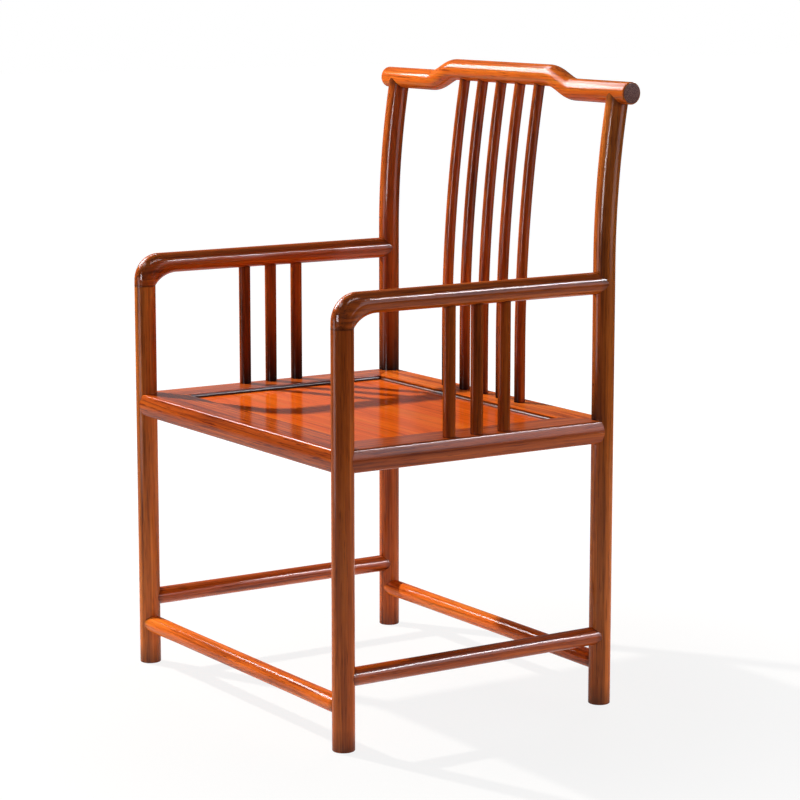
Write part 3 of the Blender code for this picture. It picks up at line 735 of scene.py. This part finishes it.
def edge_wear_and_highlight_group():
    """Lighter, duller broken patches along edges: lacquer rubbed thin, and a painted highlight of the eased
    edge.
    """
    group = bpy.data.node_groups.new("edge_wear_and_highlight", "ShaderNodeTree")
    add_sockets(group, "INPUT", "Vector", "Vector")
    add_sockets(group, "INPUT", "Color", "Colour")
    add_sockets(group, "INPUT", "Float", "Edge", "Roughness")
    add_sockets(group, "OUTPUT", "Color", "Colour")
    add_sockets(group, "OUTPUT", "Float", "Roughness")
    given = add_node(group, "NodeGroupInput", (-4, 0))
    result = add_node(group, "NodeGroupOutput", (4, 0))
    spots = stretched_noise(group, (-3, 1), given.outputs["Vector"], (34, 90, 90), 3, 0.6)
    broken = ramp_between(group, (-1, 1), spots, 0.38, 0.62, 0.15, 0.75)
    share = math_node(group, (0, 1), "MULTIPLY", broken, given.outputs["Edge"])
    rubbed = mixed(group, (1, 1), 1.0, given.outputs["Colour"], (1.35, 1.6, 2.0, 1), "MULTIPLY")
    group.links.new(mixed(group, (2, 1), share, given.outputs["Colour"], rubbed), result.inputs["Colour"])
    duller = math_node(group, (1, -1), "MULTIPLY", share, 0.2)
    rough = math_node(group, (2, -1), "ADD", given.outputs["Roughness"], duller)
    group.links.new(rough, result.inputs["Roughness"])
    return group


def lacquered_wood(
    name, grain, dark, middle, light, streaks=0.6, gloss=0.26, waves=0.15, coat=0.35, haze=0.13, shift=(0, 0, 0)
):
    """Lacquered hardwood whose grain runs along one axis of the chair.

    Dark, middle and light are the tones of its figure. Streaks is the strength of growth lines and pores, gloss
    the wood's own roughness, waves the unevenness of its surface, coat the lacquer's strength and haze the
    lacquer's roughness.
    """
    material = bpy.data.materials.new(name)
    material.use_nodes = True
    tree = material.node_tree
    shader = tree.nodes["Principled BSDF"]
    place = add_node(tree, "ShaderNodeTexCoord", (-8, 0))
    mapping = add_node(tree, "ShaderNodeMapping", (-7, 0))
    tree.links.new(place.outputs["Object"], mapping.inputs["Vector"])
    turns = {"X": (0, 0, 0), "Y": (0, 0, -math.pi / 2), "Z": (0, math.pi / 2, 0)}
    mapping.inputs["Rotation"].default_value = turns[grain]
    mapping.inputs["Location"].default_value = shift
    figure = add_node(tree, "ShaderNodeGroup", (-5, 0), node_tree=wood_figure)
    tree.links.new(mapping.outputs["Vector"], figure.inputs["Vector"])
    for key, colour in (("Dark", dark), ("Middle", middle), ("Light", light)):
        figure.inputs[key].default_value = (*colour, 1)
    figure.inputs["Streaks"].default_value = streaks
    figure.inputs["Gloss"].default_value = gloss
    # The edge mark lightens eased edges: rubbed lacquer, and a painted highlight where the edge catches light
    edge = add_node(tree, "ShaderNodeAttribute", (-5, -2), attribute_name="edge")
    wear_and_highlight = add_node(tree, "ShaderNodeGroup", (-4, 0), node_tree=edge_wear_and_highlight)
    tree.links.new(mapping.outputs["Vector"], wear_and_highlight.inputs["Vector"])
    tree.links.new(edge.outputs["Fac"], wear_and_highlight.inputs["Edge"])
    tree.links.new(figure.outputs["Colour"], wear_and_highlight.inputs["Colour"])
    tree.links.new(figure.outputs["Roughness"], wear_and_highlight.inputs["Roughness"])
    # The foot mark paints shade on the seat's side of posts and rods above the seat, and darkens their floor
    # ends
    foot = add_node(tree, "ShaderNodeAttribute", (-5, 3), attribute_name="foot")
    colour = mixed(tree, (-3, 2), foot.outputs["Fac"], wear_and_highlight.outputs["Colour"], PAINTED_SHADE_AND_FLOOR_END_COLOUR)
    # The joint mark paints shade at seams and in grooves, where lacquer also gathers
    joint = add_node(tree, "ShaderNodeAttribute", (-5, 2), attribute_name="joint")
    colour = mixed(tree, (-2, 1), joint.outputs["Fac"], colour, SEAM_LACQUER_AND_PAINTED_SHADE_COLOUR)
    tree.links.new(colour, shader.inputs["Base Color"])
    tree.links.new(wear_and_highlight.outputs["Roughness"], shader.inputs["Roughness"])
    bump = add_node(tree, "ShaderNodeBump", (-3, -2))
    bump.inputs["Strength"].default_value = waves
    bump.inputs["Distance"].default_value = GRAIN_DEPTH
    tree.links.new(figure.outputs["Height"], bump.inputs["Height"])
    tree.links.new(bump.outputs["Normal"], shader.inputs["Normal"])
    shader.inputs["Specular IOR Level"].default_value = 0.0
    shader.inputs["Coat Weight"].default_value = coat
    shader.inputs["Coat Roughness"].default_value = haze
    shader.inputs["Coat IOR"].default_value = LACQUER_IOR
    return material


def end_grain(name, centre):
    """Sawn end of a bar: dull grey-brown, with growth rings and pores round a point."""
    material = bpy.data.materials.new(name)
    material.use_nodes = True
    tree = material.node_tree
    shader = tree.nodes["Principled BSDF"]
    place = add_node(tree, "ShaderNodeTexCoord", (-8, 0))
    mapping = add_node(tree, "ShaderNodeMapping", (-7, 0))
    mapping.inputs["Location"].default_value = -Vector(centre)
    tree.links.new(place.outputs["Object"], mapping.inputs["Vector"])
    rings = add_node(tree, "ShaderNodeTexWave", (-5, 1), wave_type="RINGS", rings_direction="X")
    tree.links.new(mapping.outputs["Vector"], rings.inputs["Vector"])
    rings.inputs["Scale"].default_value = 120
    rings.inputs["Distortion"].default_value = 2.5
    rings.inputs["Detail Scale"].default_value = 4
    pores = add_node(tree, "ShaderNodeTexNoise", (-5, -1))
    tree.links.new(mapping.outputs["Vector"], pores.inputs["Vector"])
    pores.inputs["Scale"].default_value = 900
    pores.inputs["Detail"].default_value = 2
    speck = ramp_between(tree, (-4, -1), pores.outputs["Fac"], 0.4, 0.68)
    colour = mixed(tree, (-3, 1), rings.outputs["Fac"], (0.34, 0.13, 0.10, 1), (0.55, 0.23, 0.19, 1))
    colour = mixed(tree, (-2, 1), speck, colour, (0.2, 0.07, 0.05, 1))
    tree.links.new(colour, shader.inputs["Base Color"])
    rough = ramp_between(tree, (-3, -1), pores.outputs["Fac"], 0.3, 0.7, 0.42, 0.62)
    tree.links.new(rough, shader.inputs["Roughness"])
    bump = add_node(tree, "ShaderNodeBump", (-2, -2))
    bump.inputs["Strength"].default_value = 0.3
    bump.inputs["Distance"].default_value = END_GRAIN_DEPTH
    tree.links.new(pores.outputs["Fac"], bump.inputs["Height"])
    tree.links.new(bump.outputs["Normal"], shader.inputs["Normal"])
    shader.inputs["Specular IOR Level"].default_value = 0.12
    return material


def finish_ends(piece, material, facing, limit=0.985):
    """Gives the flat end faces of a thick bar their end grain."""
    piece.data.materials.append(material)
    index = len(piece.data.materials) - 1
    for face in piece.data.polygons:
        if abs(face.normal.dot(facing)) > limit and len(face.vertices) >= THICK_SIDES:
            face.material_index = index


# Pieces

leg_spaces = {
    (row, side): leg_space(f"leg_space_{row}_{side}", x, y)
    for row, y in (("front", FRONT_Y), ("back", BACK_Y))
    for side, x in (("left", -RIGHT_X), ("right", RIGHT_X))
}
arm_points = [Vector((RIGHT_X, FRONT_Y, ARM_HEIGHT)), Vector((RIGHT_X, BACK_Y, ARM_HEIGHT))]
arm_space = draw_bar("arm_space", along_path(arm_points, ARM_RADIUS + GAP), THICK_SIDES)
crest_spaces = []
for name, height in (("crest_end_space", CREST_HEIGHT), ("crest_middle_space", CREST_HEIGHT + CREST_RISE)):
    crest_points = [Vector((x, CREST_Y, height)) for x in (-CREST_LENGTH, CREST_LENGTH)]
    crest_spaces.append(draw_bar(name, along_path(crest_points, CREST_RADIUS + GAP), THICK_SIDES))

pieces = {}
across = RIGHT * -LEG_SPACING_X
pieces["front_leg_right"] = draw_front_leg()
pieces["front_leg_left"] = copied(pieces["front_leg_right"], "front_post_left", across)
pieces["back_leg_right"] = draw_back_leg(crest_spaces[0])
pieces["back_leg_left"] = copied(pieces["back_leg_right"], "back_post_left", across)
pieces["crest_rail"] = draw_crest()
pieces["arm_right"] = draw_arm(leg_spaces["back", "right"])
pieces["arm_left"] = copied(pieces["arm_right"], "arm_bar_left", across)

corner = Vector((RIGHT_X, FRONT_Y, 0))
low_bar = UP * CROSS_STRETCHER_HEIGHT
high_bar = UP * SIDE_STRETCHER_HEIGHT
pieces["stretcher_front"] = draw_stretcher(
    "floor_bar_front",
    corner + across + low_bar,
    corner + low_bar,
    [leg_spaces["front", "left"], leg_spaces["front", "right"]],
)
depth = BACKWARDS * LEG_SPACING_Y
pieces["stretcher_back"] = copied(pieces["stretcher_front"], "floor_bar_back", depth)
pieces["stretcher_right"] = draw_stretcher(
    "floor_bar_right",
    corner + high_bar,
    corner + depth + high_bar,
    [leg_spaces["front", "right"], leg_spaces["back", "right"]],
)
pieces["stretcher_left"] = copied(pieces["stretcher_right"], "floor_bar_left", across)

pieces["arm_spindle_right_1"] = draw_arm_spindle(arm_space)
for i in (2, 3):
    shift = BACKWARDS * ARM_SPINDLE_PITCH * (i - 1)
    pieces[f"arm_spindle_right_{i}"] = copied(pieces["arm_spindle_right_1"], f"arm_rod_right_{i}", shift)
for i in (1, 2, 3):
    pieces[f"arm_spindle_left_{i}"] = copied(pieces[f"arm_spindle_right_{i}"], f"arm_rod_left_{i}", across)
pieces["back_spindle_1"] = draw_back_spindle(crest_spaces[1])
for i in (2, 3, 4, 5):
    shift = RIGHT * BACK_SPINDLE_PITCH * (i - 1)
    pieces[f"back_spindle_{i}"] = copied(pieces["back_spindle_1"], f"back_rod_{i}", shift)

pieces["seat_panel"] = draw_panel()
tongue_space = groove_for(*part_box("seat_panel"))
front_rail = draw_rail("seat_frame_front", LEG_SPACING_X, CROSS_RAIL_NOSE)
front_rail.location = (0, FRONT_Y, 0)
settle(front_rail, "seat_frame_front")
side_rail = draw_rail("seat_frame_right", LEG_SPACING_Y, SIDE_RAIL_NOSE)
side_rail.rotation_euler = (0, 0, math.pi / 2)
side_rail.location = (RIGHT_X, MIDDLE_Y, 0)
settle(side_rail, "seat_frame_right")
for rail, ends in ((front_rail, ("left", "right")), (side_rail, ("front", "back"))):
    for end in ends:
        cut(rail, leg_spaces["front", end] if rail is front_rail else leg_spaces[end, "right"])
    cut(rail, tongue_space)
    # Painted shade in the rail's cove and groove, the recess round the seat board, where lacquer also gathers
    shade_joints(
        rail,
        lambda place: abs(place.x) < RIGHT_X - RAIL_INSIDE + GAP
        and abs(place.y - MIDDLE_Y) < LEG_SPACING_Y / 2 - RAIL_INSIDE + GAP
        and place.z < SEAT_TOP - COVE_WALL + GAP,
        GROOVE_DARKNESS,
    )
pieces["seat_rail_front"] = front_rail
pieces["seat_rail_back"] = copied(front_rail, "seat_frame_back", half_turn=True)
pieces["seat_rail_right"] = side_rail
pieces["seat_rail_left"] = copied(side_rail, "seat_frame_left", half_turn=True)
pieces["seat_batten_right"] = draw_batten()
batten_low, batten_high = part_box("seat_batten_right")
batten_shift = RIGHT * -(batten_low.x + batten_high.x)
pieces["seat_batten_left"] = copied(pieces["seat_batten_right"], "seat_bearer_left", batten_shift)

for cutter in [*leg_spaces.values(), arm_space, *crest_spaces, tongue_space]:
    bpy.data.objects.remove(cutter, do_unlink=True)

wood_figure = wood_figure_group()
edge_wear_and_highlight = edge_wear_and_highlight_group()
post_wood = lacquered_wood(
    "post_wood", "Z", (0.20, 0.035, 0.005), (0.55, 0.105, 0.013), (0.80, 0.182, 0.024)
)
pale_post_wood = lacquered_wood(
    "pale_post_wood", "Z", (0.25, 0.055, 0.010), (0.67, 0.160, 0.023), (0.86, 0.242, 0.037)
)
# A darker copy of the post wood for the rods: painted shade, standing in for the light the thin rods lack
painted_shade_spindle_wood = lacquered_wood(
    "painted_shade_spindle_wood", "Z", (0.16, 0.028, 0.004), (0.44, 0.080, 0.009), (0.69, 0.145, 0.017), coat=0.24
)
crest_wood = lacquered_wood(
    "yoke_wood", "X", (0.42, 0.065, 0.006), (0.94, 0.184, 0.018), (0.98, 0.265, 0.028), streaks=0.65, waves=0.35
)
arm_wood = lacquered_wood(
    "arm_wood", "Y", (0.23, 0.038, 0.004), (0.63, 0.116, 0.011), (0.84, 0.188, 0.019), coat=0.45
)
# A darker copy of the arm wood for the left arm: painted shade, as that arm lies in shade
painted_shade_arm_wood = lacquered_wood(
    "shaded_arm_wood", "Y", (0.18, 0.031, 0.004), (0.49, 0.090, 0.009), (0.67, 0.150, 0.016), coat=0.4
)
cross_wood = lacquered_wood(
    "cross_wood",
    "X",
    (0.20, 0.028, 0.003),
    (0.60, 0.093, 0.007),
    (0.82, 0.162, 0.012),
    streaks=1.0,
    gloss=0.27,
    waves=0.3,
    coat=0.5,
)
side_wood = lacquered_wood(
    "side_wood",
    "Y",
    (0.20, 0.030, 0.003),
    (0.54, 0.090, 0.008),
    (0.76, 0.153, 0.014),
    streaks=0.7,
    gloss=0.27,
    waves=0.35,
    coat=0.65,
    haze=0.2,
)
board_wood = lacquered_wood(
    "board_wood",
    "X",
    (0.60, 0.081, 0.004),
    (0.88, 0.134, 0.008),
    (0.96, 0.192, 0.013),
    streaks=0.3,
    gloss=0.24,
    waves=0.05,
    shift=(0, 0.03, 0.02),
)
crest_end = end_grain("yoke_end_grain", (0, CREST_Y, CREST_HEIGHT))

finishes = {
    "front_leg_left": (pale_post_wood, "leg_wood"),
    "front_leg_right": (post_wood, "leg_wood"),
    "back_leg_left": (post_wood, "leg_wood"),
    "back_leg_right": (pale_post_wood, "leg_wood"),
    "arm_spindle": (painted_shade_spindle_wood, "leg_wood"),
    "back_spindle": (painted_shade_spindle_wood, "leg_wood"),
    "arm_left": (painted_shade_arm_wood, "leg_wood"),
    "arm_right": (arm_wood, "leg_wood"),
    "crest_rail": (crest_wood, "crest_wood"),
    "seat_panel": (board_wood, "panel_wood"),
    "seat_rail_front": (cross_wood, "rail_wood"),
    "seat_rail_back": (crest_wood, "rail_wood"),
    "stretcher_front": (crest_wood, "rail_wood"),
    "stretcher_back": (crest_wood, "rail_wood"),
    "seat_rail": (side_wood, "rail_wood"),
    "stretcher": (side_wood, "rail_wood"),
    "seat_batten": (side_wood, "rail_wood"),
}
for node, piece in pieces.items():
    smooth(piece)
    if node.startswith("seat"):
        flatten_shading(piece)
    if node.startswith(("front_leg", "back_leg", "arm_spindle", "back_spindle")):
        shade_foot(piece, node)
    wood, slot = next(value for key, value in finishes.items() if node.startswith(key))
    piece.data.materials.clear()
    piece.data.materials.append(wood)
    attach(piece, "root")
    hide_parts(node)
finish_ends(pieces["crest_rail"], crest_end, RIGHT)


# Studio

FLOOR_SIZE = 40
FLOOR_DROP = 0.0005
MIRRORED_SHARE = 0.1
SHEEN_REACH = 3.0
KEY_REACH = 3.2
SMALL_SPREAD = math.radians(70)


def mirrored_ray(tree, place, rays):
    """1 for a ray that comes from a mirroring or clear surface, and 0 for any other."""
    return math_node(tree, place, "MAXIMUM", rays.outputs["Is Glossy Ray"], rays.outputs["Is Transmission Ray"])


def floor_material():
    """Pale studio floor that keeps the chair's shadow and runs out into white."""
    material = bpy.data.materials.new("studio_floor")
    material.use_nodes = True
    tree = material.node_tree
    tree.nodes.clear()
    output = add_node(tree, "ShaderNodeOutputMaterial", (4, 0))
    matt = add_node(tree, "ShaderNodeBsdfDiffuse", (0, -1))
    glow = add_node(tree, "ShaderNodeEmission", (1, 1))
    rays = add_node(tree, "ShaderNodeLightPath", (-3, 2))
    place = add_node(tree, "ShaderNodeTexCoord", (-5, 0))
    reach = add_node(tree, "ShaderNodeVectorMath", (-4, 0), operation="LENGTH")
    tree.links.new(place.outputs["Object"], reach.inputs[0])
    near = ramp_between(tree, (-3, 1), reach.outputs["Value"], 1.0, 3.0, 1.0, MIRRORED_SHARE)
    mirrored = math_node(tree, (-1, 3), "MULTIPLY", mirrored_ray(tree, (-2, 3), rays), near)
    seen = math_node(tree, (-1, 2), "MAXIMUM", rays.outputs["Is Camera Ray"], mirrored)
    fade = ramp_between(tree, (-3, 0), reach.outputs["Value"], 0.4, 1.4, 0.86, 1.0)
    bounce = ramp_between(tree, (-3, -1), reach.outputs["Value"], 0.3, 1.3, 0.68, 0.2)
    shade = mixed(tree, (-1, -1), rays.outputs["Is Camera Ray"], bounce, (0.15, 0.15, 0.15, 1))
    tree.links.new(shade, matt.inputs["Color"])
    tree.links.new(math_node(tree, (0, 1), "MULTIPLY", seen, fade), glow.inputs["Strength"])
    both = add_node(tree, "ShaderNodeAddShader", (2, 0))
    tree.links.new(matt.outputs[0], both.inputs[0])
    tree.links.new(glow.outputs[0], both.inputs[1])
    tree.links.new(both.outputs[0], output.inputs["Surface"])
    return material


def area_lamp(name, place, aim, size, watts, colour=(1, 1, 1), lights=True, shines=True):
    """A rectangular lamp, aimed at a point, which lights the wood, shines in its lacquer, or both."""
    lamp = bpy.data.lights.new(name, "AREA")
    lamp.shape = "RECTANGLE"
    lamp.size, lamp.size_y = size
    lamp.energy = watts
    lamp.color = colour
    holder = bpy.data.objects.new(name, lamp)
    holder.location = place
    holder.rotation_euler = (Vector(aim) - Vector(place)).to_track_quat("-Z", "Y").to_euler()
    holder.visible_camera = False
    holder.visible_diffuse = lights
    holder.visible_glossy = shines
    bpy.context.scene.collection.objects.link(holder)


def way_of(x, y, height_angle):
    """Direction towards a lamp, from its compass direction and its height above the horizon."""
    height = math.radians(height_angle)
    return Vector((x, y, 0)).normalized() * math.cos(height) + UP * math.sin(height)


bpy.ops.mesh.primitive_plane_add(size=FLOOR_SIZE, location=(0, 0, -FLOOR_DROP))
floor = settle(bpy.context.object, "studio_floor")
floor.data.materials.append(floor_material())

world = bpy.data.worlds.new("studio")
bpy.context.scene.world = world
world.use_nodes = True
sky = world.node_tree
sky.nodes.clear()
sky_output = add_node(sky, "ShaderNodeOutputWorld", (4, 0))
dim = add_node(sky, "ShaderNodeBackground", (1, -1))
dim.inputs["Color"].default_value = (0.92, 0.95, 1.0, 1)
dim.inputs["Strength"].default_value = 0.1
white = add_node(sky, "ShaderNodeBackground", (1, 1))
white.inputs["Strength"].default_value = 1.0
white.inputs["Color"].default_value = (1, 1, 1, 1)
sky_rays = add_node(sky, "ShaderNodeLightPath", (-2, 1))
sky_mirrored = math_node(sky, (-1, -1), "MULTIPLY", mirrored_ray(sky, (-1, 0), sky_rays), MIRRORED_SHARE)
sky_seen = math_node(sky, (0, 1), "MAXIMUM", sky_rays.outputs["Is Camera Ray"], sky_mirrored)
sky_mix = add_node(sky, "ShaderNodeMixShader", (2, 0))
sky.links.new(sky_seen, sky_mix.inputs[0])
sky.links.new(dim.outputs[0], sky_mix.inputs[1])
sky.links.new(white.outputs[0], sky_mix.inputs[2])
sky.links.new(sky_mix.outputs[0], sky_output.inputs["Surface"])

seat_middle = Vector((0, MIDDLE_Y, SEAT_TOP))
chair_middle = Vector((0, 0, 0.5))
key_way = way_of(-0.905, -0.425, 37)

# Lamps round the seat that only shine in the lacquer
for name, way, size, watts, colour in (
    ("key_sheen", key_way, (1.3, 1.3), 160, (0.86, 0.92, 1.0)),
    ("side_sheen", way_of(0.70, 0.54, 28), (0.8, 0.4), 62, (0.88, 0.93, 1.0)),
    ("side_glow", way_of(0.70, 0.54, 9), (1.8, 1.1), 22, (0.95, 0.9, 1.0)),
    ("high_sheen", way_of(-0.667, -0.745, 45), (1.6, 1.6), 80, (0.88, 0.9, 1.0)),
    ("front_panel", way_of(0, -1, 52), (1.6, 0.6), 22, (0.9, 0.93, 1.0)),
    ("left_panel", way_of(-1, 0, 52), (1.6, 0.6), 45, (0.9, 0.93, 1.0)),
    ("back_panel", way_of(0, 1, 33), (1.6, 0.6), 45, (0.9, 0.93, 1.0)),
    ("right_panel", way_of(1, 0, 52), (1.6, 0.6), 30, (0.9, 0.93, 1.0)),
):
    area_lamp(name, seat_middle + way * SHEEN_REACH, seat_middle, size, watts, colour, lights=False)

# Lamps at other places that only shine in the lacquer
for name, place, aim, size, watts, colour in (
    ("front_sheen", (0.85, -2.57, 1.0), (0, 0.2, 0.75), (0.7, 0.8), 46, (0.92, 0.92, 1.0)),
    ("back_glow", (-3.0, 0.7, 1.0), seat_middle, (2.4, 1.2), 2.3, (0.95, 0.92, 1.0)),
    ("left_strip", (-0.5, -1.7, 0.35), (0, 0, 0.35), (0.8, 0.7), 8, (0.95, 0.9, 1.0)),
):
    area_lamp(name, place, aim, size, watts, colour, lights=False)

# Lamps that only light the wood
for name, place, aim, size, watts, colour in (
    ("key", seat_middle + key_way * KEY_REACH, seat_middle, (0.1, 0.1), 118, (1.0, 0.95, 0.87)),
    ("front_fill", (3.3, -1.5, 1.5), chair_middle, (1.4, 1.4), 6.5, (1.0, 0.96, 0.9)),
    ("left_fill", (-2.2, -2.4, 1.3), chair_middle, (0.8, 0.8), 7, (1.0, 0.95, 0.88)),
    ("back_fill", (-2.0, 2.7, 1.7), chair_middle, (1.4, 1.4), 22, (1.0, 0.98, 0.95)),
    ("top_fill", (0.4, -0.5, 3.0), chair_middle, (0.9, 0.9), 2.5, (1.0, 0.97, 0.9)),
    ("left_bounce", (-0.5, -1.7, 0.1), (0, 0, 0.1), (0.8, 0.2), 3, (1.0, 0.96, 0.92)),
    ("right_bounce", (1.2, 1.4, 0.08), (0.1, -0.1, 0.08), (0.9, 0.15), 2.2, (1.0, 0.96, 0.92)),
):
    area_lamp(name, place, aim, size, watts, colour, shines=False)
bpy.data.lights["right_bounce"].spread = SMALL_SPREAD

scene = bpy.context.scene
scene.view_settings.view_transform = "Standard"
camera_data = bpy.data.cameras.new("photo_camera")
camera_data.sensor_width = 36
camera_data.lens = 120.72
camera = bpy.data.objects.new("photo_camera", camera_data)
azimuth = math.radians(56.956)
elevation = math.radians(9.422)
backwards_view = Vector(
    (math.sin(azimuth) * math.cos(elevation), -math.cos(azimuth) * math.cos(elevation), math.sin(elevation))
)
camera.location = (3.42633, -2.17008 + MIDDLE_Y, 1.11719)
camera.rotation_euler = backwards_view.to_track_quat("Z", "Y").to_euler()
scene.collection.objects.link(camera)
scene.camera = camera
